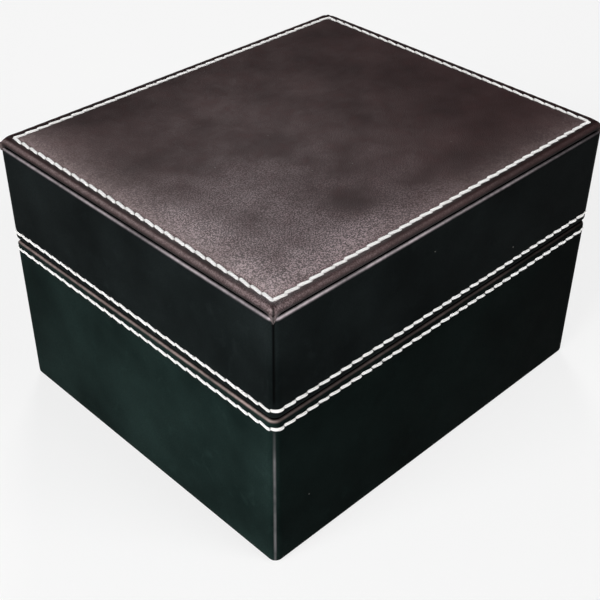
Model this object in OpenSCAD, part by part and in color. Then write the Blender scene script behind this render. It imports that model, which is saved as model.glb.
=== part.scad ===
// Pocket watch display box: a wrapped and stitched base, a hinged padded lid
// and a lift-out velvet pad with a round recess for the watch.
// The origin is under the middle of the base, +X to the right, +Y to the back, +Z up.

/* [Overall] */
// Width across the front
box_w = 117.5; // [104:0.5:140]
// Depth from the front to the back
box_d = 100; // [92:0.5:120]
// Height of the parting line above the table
parting_h = 45.9; // [44:0.1:60]
// Height of the lid's wrapped sides above the parting line
lid_side_h = 27.55; // [25:0.05:40]
// Gap between the closed lid and the base
rim_gap = 0.3; // [0.2:0.05:0.6]
// Rounding of the four upright corners
corner_r = 2.2; // [1:0.1:2.4]
// Rounding of the wrapped rims
rim_round = 1.2; // [0.6:0.1:1.3]

/* [Shell] */
// Thickness of the leatherette wrap
wrap_t = 0.9; // [0.8:0.05:1.2]
// Thickness of the wrap turned in behind the lining
flap_t = 0.7; // [0.5:0.05:0.9]
// Thickness of the base's wall boards
base_board_t = 4; // [3.6:0.1:5]
// Thickness of the lid's wall boards
lid_board_t = 3; // [2.8:0.1:3.4]
// Thickness of the floor board
floor_t = 3; // [2:0.1:4]
// Thickness of the lid's top board
top_board_t = 3; // [2:0.1:4]
// Width of the wrap turned in on the lid's top, under the panel
top_turn_in = 9; // [6:0.5:14]
// Thickness of the felt underside
felt_t = 1.1; // [1:0.1:1.6]
// Distance of the felt from the box's sides
felt_inset = 2; // [1.5:0.1:4]
// Height of the wrap's lower edge above the table
wrap_lift = 0.2; // [0.1:0.05:0.4]
// Bevel on the back boards beside the hinge line
back_bevel = 0.8; // [0.5:0.1:1]

/* [Top panel] */
// Distance of the panel's edge from the box's sides
panel_inset = 0.35; // [0.2:0.05:0.8]
// Rounding of the panel's corners
panel_corner_r = 1.2; // [1:0.1:2]
// Thickness of the panel's card
panel_card_t = 0.9; // [0.6:0.05:1.2]
// Thickness of the foam on the card
panel_foam_t = 0.5; // [0.4:0.05:1]
// Thickness of the leatherette over the foam
panel_cover_t = 0.8; // [0.7:0.05:1]
// Rise of the panel's middle above its rolled edge
panel_crown = 0.45; // [0.2:0.05:1]
// Depth of the channel that the seam draws into the panel
seam_sink = 0.45; // [0.3:0.05:0.6]

/* [Stitching] */
// Width of a stitched row
stitch_w = 1.2; // [1:0.05:1.3]
// How far a row stands out of the leatherette
stitch_proud = 0.3; // [0.2:0.05:0.32]
// Distance of the rim rows from the parting line
rim_seam = 2.65; // [2.6:0.05:3.2]
// Distance of the top row from the box's sides
top_seam = 3.0; // [2.9:0.05:4]
// Height of the top row above its channel
top_stitch_h = 0.6; // [0.45:0.05:0.8]

/* [Lining] */
// Thickness of the base's lining boards
lining_t = 2.4; // [2:0.1:3]
// Height of the lining above the parting line
collar_h = 5.5; // [3:0.1:6]
// Thickness of the lining on the floor
floor_lining_t = 1.5; // [1:0.1:2]
// Thickness of the lid's side linings
lid_lining_t = 1.6; // [1.2:0.1:1.8]
// Space between the collar and the lid's lining
collar_clear = 1.0; // [0.8:0.1:2]
// Thickness of the padding under the lid's top
lid_pad_t = 4.5; // [3:0.1:5]

/* [Watch pad] */
// Height of the pad's board above the table
pad_seat_h = 28; // [22:0.5:30]
// Thickness of the pad's board
pad_board_t = 2; // [1.5:0.1:3]
// Thickness of the pad
pad_t = 16; // [15:0.5:18]
// Space between the pad and the lining
pad_clear = 0.5; // [0.4:0.1:1]
// Rounding of the pad's top edge
pad_round = 3; // [2:0.1:4]
// Diameter of the watch recess
recess_d = 56; // [46:1:60]
// Depth of the watch recess
recess_depth = 12; // [9:0.5:13]
// Distance of the recess in front of the middle
recess_forward = 4; // [2:0.5:5]
// Thickness of the disc in the recess
disc_t = 1.2; // [0.8:0.1:2]
// Width of the slot for the watch's bow
bow_w = 14; // [10:1:20]
// Length of the slot past the recess
bow_len = 12; // [8:1:13]
// Depth of the slot for the bow
bow_depth = 8; // [5:0.5:8]
// Width of the ledges under the pad
ledge_w = 5; // [3:0.5:8]
// Height of the ledges under the pad
ledge_h = 4; // [3:0.5:8]
// Width of the ribbon tab
ribbon_w = 10; // [8:0.5:14]
// Thickness of the folded ribbon
ribbon_t = 1.6; // [1.2:0.1:2]
// Height of the ribbon above the pad
ribbon_rise = 8; // [5:0.5:9]
// Space round the ribbon in its slit
ribbon_clear = 0.3; // [0.2:0.05:0.5]

/* [Hinges] */
// Distance of the hinge line from the back face
axis_in = 1.6; // [1.6:0.05:1.7]
// Opening angle of the lid
open_angle = 92; // [80:1:92]
// Distance of each hinge from the middle
hinge_x = 30; // [24:1:36]
// Length of each hinge
hinge_len = 22; // [18:1:28]
// Length of the lid's knuckle
lid_knuckle = 8; // [6:0.5:9]
// Radius of the barrel
barrel_r = 1.4; // [1.3:0.05:1.45]
// Radius of the hinge pin
pin_r = 0.55; // [0.4:0.05:0.6]
// Running clearance of the pin
pin_clear = 0.05; // [0.03:0.01:0.08]
// Gap between knuckles
knuckle_gap = 0.3; // [0.2:0.05:0.5]
// Thickness of a leaf
leaf_t = 0.7; // [0.5:0.05:0.8]
// Height of a leaf in its kerf
leaf_h = 9; // [7:0.5:12]
// Distance of the leaves in front of the hinge line
leaf_in = 0.75; // [0.7:0.05:0.8]
// Radius of the brads
brad_r = 0.6; // [0.4:0.05:0.8]
// Distance between a hinge's two brads
brad_gap = 12; // [8:1:16]

/* [Magnets] */
// Distance of each magnet from the middle
magnet_x = 32; // [20:1:40]
// Length of a magnet
magnet_len = 10; // [6:1:14]
// Thickness of a magnet
magnet_t = 1.6; // [1:0.1:2]
// Height of a magnet
magnet_h = 3; // [2:0.5:5]

/* [Hidden] */

leather = [0.15, 0.14, 0.14];
top_leather = [0.28, 0.24, 0.24];
thread = [0.93, 0.91, 0.88];
board = [0.72, 0.60, 0.44];
velvet = [0.86, 0.80, 0.68];
felt = [0.10, 0.10, 0.10];
steel = [0.72, 0.72, 0.74];
brass = [0.80, 0.66, 0.36];

cut = 1; // how far a cutting shape runs past what it cuts
seat = 0.02; // clearance under a row of thread
skin = 0.01; // thickness of the slices that a rounded block is stretched over
hole_clear = 0.03; // clearance of a brad in its hole
notch_clear = 0.35; // clearance of the barrel in its notch
slit_margin = 0.5; // flat top left between the pad's rounded edge and the ribbon's slit
panel_edge_step = 30; // angle between the rings of the panel's rolled edge
pad_edge_step = 22.5; // angle between the rings of the pad's rounded edge
pad_corner_steps = 4; // facets round each upright corner of the pad

half_w = box_w / 2;
half_d = box_d / 2;

// Heights
base_top = parting_h - rim_gap / 2;
lid_bottom = parting_h + rim_gap / 2;
base_board_top = base_top - wrap_t;
lid_board_bottom = lid_bottom + wrap_t;
floor_top = felt_t + floor_t;
lid_side_top = parting_h + lid_side_h;
top_board_top = lid_side_top - wrap_t;
ceiling_z = top_board_top - top_board_t;
collar_top = parting_h + collar_h;
lid_lining_bottom = collar_top + collar_clear;
lid_pad_bottom = ceiling_z - lid_pad_t;

// Plan of the boards and linings, as half widths from the middle
board_x = half_w - wrap_t;
board_y = half_d - wrap_t;
base_in_x = board_x - base_board_t;
base_in_y = board_y - base_board_t;
lid_in_x = board_x - lid_board_t;
lid_in_y = board_y - lid_board_t;
lining_x = base_in_x - flap_t;
lining_y = base_in_y - flap_t;
room_x = lining_x - lining_t;
room_y = lining_y - lining_t;
lid_flap_x = lid_in_x - flap_t;
lid_flap_y = lid_in_y - flap_t;
lid_room_x = lid_flap_x - lid_lining_t;
lid_room_y = lid_flap_y - lid_lining_t;

// Top panel
panel_x = half_w - panel_inset;
panel_y = half_d - panel_inset;
panel_h = panel_card_t + panel_foam_t + panel_cover_t;
panel_roll = panel_h / 2;
seam_in = top_seam - panel_inset;
seam_flat = stitch_w + 0.2;
seam_z = lid_side_top + panel_h - seam_sink;

// Watch pad
pad_x = room_x - pad_clear;
pad_y = room_y - pad_clear;
pad_bottom = pad_seat_h + pad_board_t;
pad_top = pad_bottom + pad_t;
recess_r = recess_d / 2;
recess_floor = pad_top - recess_depth;
recess_y = -recess_forward;
slit_x = ribbon_w / 2 + ribbon_clear;
slit_y = ribbon_t / 2 + ribbon_clear;
ribbon_y = -pad_y + pad_round + slit_margin + slit_y;

// Hinges
axis_y = half_d - axis_in;
notch_r = barrel_r + notch_clear;
groove_angle = (open_angle + 2) / 2;
base_knuckle = (hinge_len - lid_knuckle - 2 * knuckle_gap) / 2;
leaf_y = axis_y - leaf_in;
brad_z = notch_r + leaf_h / 2;
brad_end_y = board_y - 0.4;
magnet_y = -(board_y - lid_board_t / 2);

// A block between two corners
module block(low, high) {
    translate(low)
        cube(high - low);
}

// A block centred on the middle of the box
module centred_block(half_x, half_y, z0, z1) {
    block([-half_x, -half_y, z0], [half_x, half_y, z1]);
}

// A rectangle with rounded corners
module rounded_rect(half_x, half_y, r) {
    square([2 * (half_x - r), 2 * half_y], center = true);
    square([2 * half_x, 2 * (half_y - r)], center = true);
    for (x = [-1, 1], y = [-1, 1])
        translate([x * (half_x - r), y * (half_y - r)])
            circle(r = r, $fn = 32);
}

// A thin slice of a rounded block, drawn in by inset
module slice(half_x, half_y, r, inset, z) {
    translate([0, 0, z])
        linear_extrude(skin)
            rounded_rect(half_x - inset, half_y - inset, max(r - inset, 0.2));
}

// A block with rounded upright corners and rounded edges above and below
module rounded_block(half_x, half_y, z0, z1, r, low_r, high_r) {
    hull()
        for (a = [0 : 22.5 : 90]) {
            slice(half_x, half_y, r, high_r * (1 - cos(a)), z1 - high_r * (1 - sin(a)) - skin);
            slice(half_x, half_y, r, low_r * (1 - cos(a)), z0 + low_r * (1 - sin(a)));
        }
}

// A ring of points round a rounded rectangle
function outline(half_x, half_y, r, z, steps) = [
    for (q = [0 : 3], k = [0 : steps])
        let (
            a = 90 * (q + k / steps),
            side_x = q == 0 || q == 3 ? 1 : -1,
            side_y = q < 2 ? 1 : -1
        )
        [side_x * (half_x - r) + r * cos(a), side_y * (half_y - r) + r * sin(a), z]
];

// A solid stretched over rings, each given by its inset and its height
module ringed_solid(half_x, half_y, r, rings, steps) {
    n = 4 * (steps + 1);
    m = len(rings);
    points = [
        for (ring = rings)
            each outline(half_x - ring[0], half_y - ring[0], max(r - ring[0], 0.3), ring[1], steps)
    ];
    sides = [
        for (i = [0 : m - 2], j = [0 : n - 1])
            let (a = i * n + j, b = i * n + (j + 1) % n)
            each [[a, a + n, b + n], [a, b + n, b]]
    ];
    low_cap = [for (j = [0 : n - 1]) j];
    high_cap = [for (j = [n - 1 : -1 : 0]) (m - 1) * n + j];
    polyhedron(points, concat([low_cap], sides, [high_cap]));
}

// Both places along the hinge line
module at_hinges() {
    for (x = [-hinge_x, hinge_x])
        translate([x, axis_y, parting_h])
            children();
}

// A round bar along the hinge line
module bar(length, r) {
    rotate([0, 90, 0])
        cylinder(r = r, h = length, center = true, $fn = 48);
}

// Room for the barrels in the boards and the wraps
module barrel_notches() {
    at_hinges()
        bar(hinge_len + 2 * knuckle_gap, notch_r);
}

// The groove along the back that lets the lid tip over
module back_groove() {
    reach = axis_in + cut;
    rise = reach * tan(groove_angle);
    translate([0, axis_y, parting_h])
        rotate([90, 0, 90])
            linear_extrude(box_w + 2 * cut, center = true)
                polygon([[0, 0], [reach, -rise], [reach, rise]]);
}

// The saw kerf that a leaf is let into, below (side -1) or above (side 1) the hinge line
module kerfs(side) {
    at_hinges()
        translate([0, -leaf_in, side * (notch_r + leaf_h) / 2])
            cube([hinge_len, leaf_t, notch_r + leaf_h], center = true);
}

// The brads of both hinges, from from_y to their points in the back board
module brads(side, from_y, r) {
    at_hinges()
        for (x = [-brad_gap / 2, brad_gap / 2])
            translate([x, from_y - axis_y, side * brad_z])
                rotate([-90, 0, 0])
                    cylinder(r = r, h = brad_end_y - from_y, $fn = 24);
}

// A pair of bar magnets in the front wall, between two heights
module magnets(z0, z1) {
    for (x = [-magnet_x, magnet_x])
        translate([x, magnet_y, (z0 + z1) / 2])
            cube([magnet_len, magnet_t, z1 - z0], center = true);
}

// A back board with the edge beside the hinge line bevelled
module back_board(in_y, z_far, z_near) {
    bevel = back_bevel * sign(z_near - z_far);
    rotate([90, 0, 90])
        linear_extrude(2 * board_x, center = true)
            polygon([
                [in_y, z_far],
                [board_y, z_far],
                [board_y, z_near - bevel],
                [board_y - back_bevel, z_near],
                [in_y, z_near],
            ]);
}

// The closed ring of the four wall boards, without kerfs and pockets
module board_ring(in_x, in_y, z_far, z_near) {
    low = min(z_far, z_near);
    high = max(z_far, z_near);
    back_board(in_y, z_far, z_near);
    block([-board_x, -board_y, low], [board_x, -in_y, high]);
    for (x = [-1, 1])
        block([min(x * in_x, x * board_x), -in_y, low], [max(x * in_x, x * board_x), in_y, high]);
}

// A row of thread round the box's sides
module rim_stitching(z) {
    translate([0, 0, z - stitch_w / 2])
        linear_extrude(stitch_w)
            difference() {
                rounded_rect(
                    half_w + seat + stitch_proud,
                    half_d + seat + stitch_proud,
                    corner_r + seat + stitch_proud
                );
                rounded_rect(half_w + seat, half_d + seat, corner_r + seat);
            }
}

module base_felt() {
    color(felt)
        centred_block(half_w - felt_inset, half_d - felt_inset, 0, felt_t);
}

module base_floor_board() {
    color(board)
        centred_block(board_x, board_y, felt_t, floor_top);
}

module base_front_board() {
    color(board)
        difference() {
            block([-board_x, -board_y, floor_top], [board_x, -base_in_y, base_board_top]);
            magnets(base_board_top - magnet_h, base_board_top + cut);
        }
}

module base_back_board() {
    color(board)
        difference() {
            back_board(base_in_y, floor_top, base_board_top);
            barrel_notches();
            kerfs(-1);
            brads(-1, base_in_y - cut, brad_r + hole_clear);
        }
}

module base_left_board() {
    color(board)
        block([-board_x, -base_in_y, floor_top], [-base_in_x, base_in_y, base_board_top]);
}

module base_right_board() {
    color(board)
        block([base_in_x, -base_in_y, floor_top], [board_x, base_in_y, base_board_top]);
}

module base_wrap() {
    color(leather)
        difference() {
            rounded_block(half_w, half_d, wrap_lift, base_top, corner_r, rim_round, rim_round);
            board_ring(base_in_x, base_in_y, floor_top - cut, base_board_top);
            centred_block(board_x, board_y, felt_t, floor_top);
            centred_block(lining_x, lining_y, felt_t, base_top + cut);
            centred_block(half_w - felt_inset, half_d - felt_inset, -cut, floor_top);
            barrel_notches();
            back_groove();
        }
}

module base_rim_stitching() {
    color(thread)
        rim_stitching(parting_h - rim_seam);
}

module base_magnets() {
    color(steel)
        magnets(base_board_top - magnet_h, base_board_top);
}

module lining_front() {
    color(velvet)
        block([-lining_x, -lining_y, floor_top], [lining_x, -room_y, collar_top]);
}

module lining_back() {
    color(velvet)
        block([-lining_x, room_y, floor_top], [lining_x, lining_y, collar_top]);
}

module lining_left() {
    color(velvet)
        block([-lining_x, -room_y, floor_top], [-room_x, room_y, collar_top]);
}

module lining_right() {
    color(velvet)
        block([room_x, -room_y, floor_top], [lining_x, room_y, collar_top]);
}

module floor_lining() {
    color(velvet)
        centred_block(room_x, room_y, floor_top, floor_top + floor_lining_t);
}

module ledge_left() {
    color(board)
        block([-room_x, -room_y, pad_seat_h - ledge_h], [ledge_w - room_x, room_y, pad_seat_h]);
}

module ledge_right() {
    color(board)
        block([room_x - ledge_w, -room_y, pad_seat_h - ledge_h], [room_x, room_y, pad_seat_h]);
}

module base_hinge_leaves() {
    color(brass)
        at_hinges()
            difference() {
                union() {
                    translate([0, -leaf_in, -notch_r - leaf_h / 2])
                        cube([hinge_len, leaf_t, leaf_h], center = true);
                    for (x = [-1, 1])
                        translate([x * (hinge_len - base_knuckle) / 2, 0, 0]) {
                            bar(base_knuckle, barrel_r);
                            translate([0, -leaf_in, -notch_r / 2])
                                cube([base_knuckle, leaf_t, notch_r], center = true);
                        }
                }
                bar(hinge_len + cut, pin_r + pin_clear);
                for (x = [-brad_gap / 2, brad_gap / 2])
                    translate([x, -leaf_in, -brad_z])
                        rotate([90, 0, 0])
                            cylinder(r = brad_r + hole_clear, h = leaf_t + cut, center = true, $fn = 24);
            }
}

module base_hinge_brads() {
    color(steel)
        brads(-1, base_in_y, brad_r);
}

module hinge_pins() {
    color(steel)
        at_hinges()
            bar(hinge_len, pin_r);
}

module lid_front_board() {
    color(board)
        difference() {
            block([-board_x, -board_y, lid_board_bottom], [board_x, -lid_in_y, ceiling_z]);
            magnets(lid_board_bottom - cut, lid_board_bottom + magnet_h);
        }
}

module lid_back_board() {
    color(board)
        difference() {
            back_board(lid_in_y, ceiling_z, lid_board_bottom);
            barrel_notches();
            kerfs(1);
            brads(1, lid_in_y - cut, brad_r + hole_clear);
        }
}

module lid_left_board() {
    color(board)
        block([-board_x, -lid_in_y, lid_board_bottom], [-lid_in_x, lid_in_y, ceiling_z]);
}

module lid_right_board() {
    color(board)
        block([lid_in_x, -lid_in_y, lid_board_bottom], [board_x, lid_in_y, ceiling_z]);
}

module lid_top_board() {
    color(board)
        centred_block(board_x, board_y, ceiling_z, top_board_top);
}

module lid_wrap() {
    color(leather)
        difference() {
            rounded_block(half_w, half_d, lid_bottom, lid_side_top, corner_r, rim_round, rim_round);
            board_ring(lid_in_x, lid_in_y, ceiling_z + cut, lid_board_bottom);
            centred_block(board_x, board_y, ceiling_z, top_board_top);
            centred_block(lid_flap_x, lid_flap_y, lid_bottom - cut, ceiling_z + cut);
            centred_block(half_w - top_turn_in, half_d - top_turn_in, ceiling_z, lid_side_top + cut);
            barrel_notches();
            back_groove();
        }
}

module lid_rim_stitching() {
    color(thread)
        rim_stitching(parting_h + rim_seam);
}

module lid_magnets() {
    color(steel)
        magnets(lid_board_bottom, lid_board_bottom + magnet_h);
}

module lid_lining_front() {
    color(velvet)
        block([-lid_flap_x, -lid_flap_y, lid_lining_bottom], [lid_flap_x, -lid_room_y, ceiling_z]);
}

module lid_lining_back() {
    color(velvet)
        block([-lid_flap_x, lid_room_y, lid_lining_bottom], [lid_flap_x, lid_flap_y, ceiling_z]);
}

module lid_lining_left() {
    color(velvet)
        block([-lid_flap_x, -lid_room_y, lid_lining_bottom], [-lid_room_x, lid_room_y, ceiling_z]);
}

module lid_lining_right() {
    color(velvet)
        block([lid_room_x, -lid_room_y, lid_lining_bottom], [lid_flap_x, lid_room_y, ceiling_z]);
}

module lid_lining_pad() {
    edge = 0.3;
    color(velvet)
        rounded_block(
            lid_room_x - edge, lid_room_y - edge, lid_pad_bottom, ceiling_z,
            2, lid_pad_t * 0.55, edge
        );
}

module lid_hinge_leaves() {
    color(brass)
        at_hinges()
            difference() {
                union() {
                    translate([0, -leaf_in, notch_r + leaf_h / 2])
                        cube([hinge_len, leaf_t, leaf_h], center = true);
                    bar(lid_knuckle, barrel_r);
                    translate([0, -leaf_in, notch_r / 2])
                        cube([lid_knuckle, leaf_t, notch_r], center = true);
                }
                bar(hinge_len + cut, pin_r + pin_clear);
                for (x = [-brad_gap / 2, brad_gap / 2])
                    translate([x, -leaf_in, brad_z])
                        rotate([90, 0, 0])
                            cylinder(r = brad_r + hole_clear, h = leaf_t + cut, center = true, $fn = 24);
            }
}

module lid_hinge_brads() {
    color(steel)
        brads(1, lid_in_y, brad_r);
}

// The card and the foam lie inside the cover's rolled edge
module panel_layer(z0, z1) {
    centred_block(panel_x - panel_roll, panel_y - panel_roll, z0, z1);
}

module top_panel_card() {
    color(board)
        panel_layer(lid_side_top, lid_side_top + panel_card_t);
}

module top_panel_foam() {
    color([0.9, 0.88, 0.8])
        panel_layer(lid_side_top + panel_card_t, lid_side_top + panel_card_t + panel_foam_t);
}

module top_panel_cover() {
    base = lid_side_top;
    shoulder = 0.3; // width of the step beside the channel
    roll = [
        for (a = [-90 : panel_edge_step : 90])
            [panel_roll * (1 - cos(a)), base + panel_roll * (1 + sin(a))]
    ];
    channel = [
        [seam_in - seam_flat / 2 - shoulder, base + panel_h],
        [seam_in - seam_flat / 2, seam_z],
        [seam_in + seam_flat / 2, seam_z],
        [seam_in + seam_flat / 2 + shoulder, base + panel_h],
    ];
    crown = [
        for (s = [0.15, 0.4, 1])
            [seam_in + seam_flat + (half_d - 2 * top_seam) * s * 0.7, base + panel_h + panel_crown * sin(90 * s)]
    ];
    color(top_leather)
        difference() {
            ringed_solid(panel_x, panel_y, panel_corner_r, concat(roll, channel, crown), 5);
            panel_layer(base - cut, base + panel_card_t + panel_foam_t);
        }
}

module top_panel_stitching() {
    color(thread)
        translate([0, 0, seam_z])
            linear_extrude(top_stitch_h)
                difference() {
                    rounded_rect(half_w - top_seam + stitch_w / 2, half_d - top_seam + stitch_w / 2, 1.6);
                    rounded_rect(half_w - top_seam - stitch_w / 2, half_d - top_seam - stitch_w / 2, 0.4);
                }
}

module pad_board() {
    color(board)
        centred_block(pad_x, pad_y, pad_seat_h, pad_bottom);
}

// Each ring of the pad: how far it stands in, and its height
pad_rings = concat(
    [[0, pad_bottom]],
    [
        for (a = [0 : pad_edge_step : 90])
            [pad_round * (1 - cos(a)), pad_top - pad_round * (1 - sin(a))]
    ]
);

module watch_pad() {
    color(velvet)
        difference() {
            ringed_solid(pad_x, pad_y, pad_round + 0.5, pad_rings, pad_corner_steps);
            translate([0, recess_y, recess_floor])
                cylinder(r = recess_r, h = recess_depth + cut, $fn = 96);
            block(
                [-bow_w / 2, recess_y, pad_top - bow_depth],
                [bow_w / 2, recess_y + recess_r + bow_len, pad_top + cut]
            );
            block(
                [-slit_x, ribbon_y - slit_y, pad_bottom - cut],
                [slit_x, ribbon_y + slit_y, pad_top + cut]
            );
        }
}

module recess_disc() {
    color(velvet)
        translate([0, recess_y, recess_floor])
            cylinder(r = recess_r - 0.3, h = disc_t, $fn = 96);
}

module ribbon_tab() {
    top = pad_top + ribbon_rise - ribbon_t / 2;
    color(top_leather)
        union() {
            block(
                [-ribbon_w / 2, ribbon_y - ribbon_t / 2, pad_bottom],
                [ribbon_w / 2, ribbon_y + ribbon_t / 2, top]
            );
            translate([0, ribbon_y, top])
                bar(ribbon_w, ribbon_t / 2);
        }
}

base_felt();
base_floor_board();
base_front_board();
base_back_board();
base_left_board();
base_right_board();
base_wrap();
base_rim_stitching();
base_magnets();
lining_front();
lining_back();
lining_left();
lining_right();
floor_lining();
ledge_left();
ledge_right();
base_hinge_leaves();
base_hinge_brads();
hinge_pins();
lid_front_board();
lid_back_board();
lid_left_board();
lid_right_board();
lid_top_board();
lid_wrap();
lid_rim_stitching();
lid_magnets();
lid_lining_front();
lid_lining_back();
lid_lining_left();
lid_lining_right();
lid_lining_pad();
lid_hinge_leaves();
lid_hinge_brads();
top_panel_card();
top_panel_foam();
top_panel_cover();
top_panel_stitching();
pad_board();
watch_pad();
recess_disc();
ribbon_tab();
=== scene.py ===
"""Watch display box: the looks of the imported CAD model.

Run as a script it loads the frame, builds the stitched leatherette shells, the padded top, the thread, the
linings and the pads, gives the boards and the metal fittings their finishes, and sets the stage.
"""

import math
import random

import bmesh
import bpy
from bpy.props import FloatProperty, FloatVectorProperty, PointerProperty
from bpy.types import Operator, Panel, PropertyGroup
from mathutils import Euler, Matrix, Vector, noise


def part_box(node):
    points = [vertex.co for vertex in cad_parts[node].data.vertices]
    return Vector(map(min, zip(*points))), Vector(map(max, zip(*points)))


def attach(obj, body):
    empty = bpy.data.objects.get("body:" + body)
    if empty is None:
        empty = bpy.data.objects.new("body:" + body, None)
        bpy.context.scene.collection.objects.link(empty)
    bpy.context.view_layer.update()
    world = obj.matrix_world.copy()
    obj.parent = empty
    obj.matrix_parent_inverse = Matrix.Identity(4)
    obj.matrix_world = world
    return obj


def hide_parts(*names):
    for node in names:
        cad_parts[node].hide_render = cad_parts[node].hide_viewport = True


bl_info = {
    "name": "Watch display box",
    "version": (1, 0, 0),
    "blender": (4, 5, 0),
    "location": "3D View > Sidebar > Display box",
    "description": "Dresses the CAD model of a stitched leatherette watch display box",
    "category": "Add Mesh",
}

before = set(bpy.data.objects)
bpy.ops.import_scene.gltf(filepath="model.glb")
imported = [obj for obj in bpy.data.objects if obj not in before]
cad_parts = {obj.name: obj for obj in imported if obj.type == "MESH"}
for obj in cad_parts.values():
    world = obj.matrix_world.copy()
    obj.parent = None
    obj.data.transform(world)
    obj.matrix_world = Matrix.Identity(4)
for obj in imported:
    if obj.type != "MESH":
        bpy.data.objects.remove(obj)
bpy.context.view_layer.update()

METRE = 1000.0  # pieces are shaped in millimetres and scaled when they are finished


def sizes(node):
    """The lowest and highest corner of a CAD node, in millimetres."""
    low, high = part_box(node)
    return low * METRE, high * METRE


BASE_LOW, BASE_HIGH = sizes("base_wrap")
LID_LOW, LID_HIGH = sizes("lid_wrap")
COVER_LOW, COVER_HIGH = sizes("top_panel_cover")
TOP_X, TOP_Y = COVER_HIGH.xy  # half the padded top's width and depth
BASE_ROW = sum(v.z for v in sizes("base_rim_stitching")) / 2
LID_ROW = sum(v.z for v in sizes("lid_rim_stitching")) / 2
PARTING = (BASE_HIGH.z + LID_LOW.z) / 2
HINGE_Y = sum(v.y for v in sizes("hinge_pins")) / 2
HINGE_X = 30.0  # from the middle of the back to the middle of a hinge
NOTCH_R, NOTCH_LENGTH = 1.75, 22.6  # room for a hinge's barrel
GROOVE_SLOPE = 47  # degrees, of both sides of the groove that stops the lid
CORNER_R = 2.2  # upright corners of the box
RIM_R = 1.2  # rims at the parting line, foot and upper edge
ROLL_R = 1.1  # rolled edge of the padded top
SEAM_IN = 2.65  # from the padded top's edge in to its thread
EDGE_LINE = 0.12  # from the padded top's edge in to the first line of its mesh
PANEL_STEP = 0.78  # between the lines of its mesh, away from the edges
WALL_R = 0.6  # upright corners of the velvet walls
LEAST_R = 0.3  # corners of an outline drawn in so far that they would be sharper
SPECK = 0.028  # a speck of dust's radius, where 1 is the room between specks

CLOTH_SCALE = 10  # how much larger the cloth is simulated, because cloth this small hardly moves
CLOTH_FRAMES = 20

FLOOR_R = 12  # metres
LAMPS = (  # name, place in metres, height that it faces, side, watts
    ("back softbox", (0.49, 0.61, 0.66), 0.07, 0.26, 3.0),
    ("left softbox", (-0.75, -0.05, 0.45), 0.05, 0.5, 6.4),
    ("right softbox", (0.20, -0.75, 0.50), 0.05, 0.5, 4.6),
)
CAMERA_LENS = 67.015
CAMERA_PLACE = (-0.17866, -0.17854, 0.20902)
CAMERA_TURN = (53.4718, -0.4054, -44.4438)  # degrees


# ---------------------------------------------------------------- settings


class BoxShellSettings(PropertyGroup):
    """The leatherette-covered sides."""

    # both side colours carry a green cast that is painted reflection, stronger on the base; the leatherette
    # itself is black-brown
    lid_colour: FloatVectorProperty(
        name="Lid colour", description="Leatherette on the lid's sides",
        default=(0.0045, 0.0065, 0.0066), subtype="COLOR", min=0, max=1,
    )
    base_colour: FloatVectorProperty(
        name="Base colour", description="Leatherette on the base's sides",
        default=(0.0060, 0.0125, 0.0112), subtype="COLOR", min=0, max=1,
    )
    dimple: FloatProperty(
        name="Dimple", description="How deep the thread draws the leatherette in",
        default=0.16e-3, min=0, max=1e-3, unit="LENGTH", precision=5,
    )


class BoxPanelSettings(PropertyGroup):
    """The padded panel on the lid."""

    colour: FloatVectorProperty(
        name="Colour", description="Leatherette on the padded panel",
        default=(0.028, 0.0098, 0.0098), subtype="COLOR", min=0, max=1,
    )
    channel: FloatProperty(
        name="Channel", description="How deep the sewn channel lies below the padding",
        default=0.32e-3, min=0, max=2e-3, unit="LENGTH", precision=5,
    )
    pucker: FloatProperty(
        name="Pucker", description="How far each needle hole draws the padding down",
        default=0.14e-3, min=0, max=1e-3, unit="LENGTH", precision=5,
    )
    swell: FloatProperty(
        name="Swell", description="Height of the slow waves in the padding",
        default=0.10e-3, min=0, max=1e-3, unit="LENGTH", precision=5,
    )


class BoxThreadSettings(PropertyGroup):
    """The three rows of thread."""

    colour: FloatVectorProperty(
        name="Colour", description="Colour of the thread",
        default=(0.96, 0.95, 0.94), subtype="COLOR", min=0, max=1,
    )
    pitch: FloatProperty(
        name="Pitch", description="Length of one stitch with its gap",
        default=3.5e-3, min=1e-3, max=10e-3, unit="LENGTH", precision=5,
    )
    thickness: FloatProperty(
        name="Thickness", description="Diameter of the thread",
        default=1.0e-3, min=0.2e-3, max=3e-3, unit="LENGTH", precision=5,
    )
    slant: FloatProperty(
        name="Slant", description="How far a stitch turns from its row",
        default=math.radians(8), min=0, max=0.6, unit="ROTATION",
    )


class BoxLiningSettings(PropertyGroup):
    """The velvet and satin inside."""

    velvet_colour: FloatVectorProperty(
        name="Velvet colour", description="Velvet of the collar, the walls and the pad",
        default=(0.62, 0.53, 0.38), subtype="COLOR", min=0, max=1,
    )
    satin_colour: FloatVectorProperty(
        name="Satin colour", description="Satin of the cushion in the lid",
        default=(0.72, 0.64, 0.50), subtype="COLOR", min=0, max=1,
    )
    velvet_round: FloatProperty(
        name="Velvet edge", description="Rounding of the edges under the velvet",
        default=0.8e-3, min=0.1e-3, max=1.1e-3, unit="LENGTH", precision=5,
    )
    pressure: FloatProperty(
        name="Pressure", description="How hard the padding pushes against its cloth",
        default=4.0, min=0, max=20,
    )
    ribbon_colour: FloatVectorProperty(
        name="Ribbon colour", description="Colour of the lifting ribbon",
        default=(0.060, 0.034, 0.030), subtype="COLOR", min=0, max=1,
    )


class BoxStageSettings(PropertyGroup):
    """The floor, the lamps and the camera."""

    floor_colour: FloatVectorProperty(
        name="Floor colour", description="Colour of the floor",
        default=(0.92, 0.92, 0.92), subtype="COLOR", min=0, max=1,
    )
    ambient: FloatProperty(
        name="Ambient", description="Light from overhead, where 1 is a white ceiling",
        default=0.05, min=0, max=2,
    )


# ---------------------------------------------------------------- node helpers


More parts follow.
